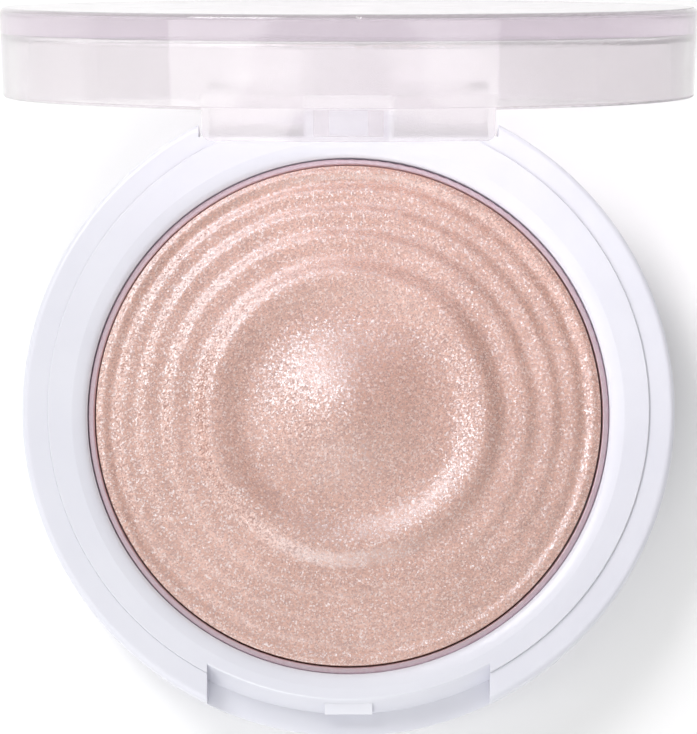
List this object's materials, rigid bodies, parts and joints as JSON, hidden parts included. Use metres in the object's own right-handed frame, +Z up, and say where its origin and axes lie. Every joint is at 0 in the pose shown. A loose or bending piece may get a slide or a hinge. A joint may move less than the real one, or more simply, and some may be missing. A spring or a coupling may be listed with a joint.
{
  "type": "powder compact",
  "caption": "Round cosmetic compact standing open: white two-piece base, pan of domed rippled highlighter powder, and a clear hinged lid with a front catch tab.",
  "frame": {"origin": "centre of the underside, on the plane the compact rests on", "axes": "+Z up through the powder, +Y towards the hinge, -Y towards the catch notch, +X to the right with the hinge at the back"},
  "size_m": [0.0728, 0.0833, 0.0746],
  "materials": {
    "base_plastic": "satin",
    "pan_metal": "satin",
    "glue": "matte",
    "powder": "satin",
    "pin_steel": "satin",
    "clear_plastic": "gloss",
    "label_paper": "matte"
  },
  "bodies": {
    "base": {"base_shell": "base_plastic", "inner_frame": "base_plastic", "pan": "pan_metal", "pan_adhesive": "glue", "powder_cake": "powder", "hinge_pin": "pin_steel", "underside_label": "label_paper"},
    "lid": {"lid": "clear_plastic"}
  },
  "joints": [
    {"name": "lid_hinge", "type": "hinge", "parent": "base", "child": "lid", "pos_m": [0, 0.0322, 0.0047], "axis": [-1, 0, 0], "range_deg": [-75, 15]}
  ]
}
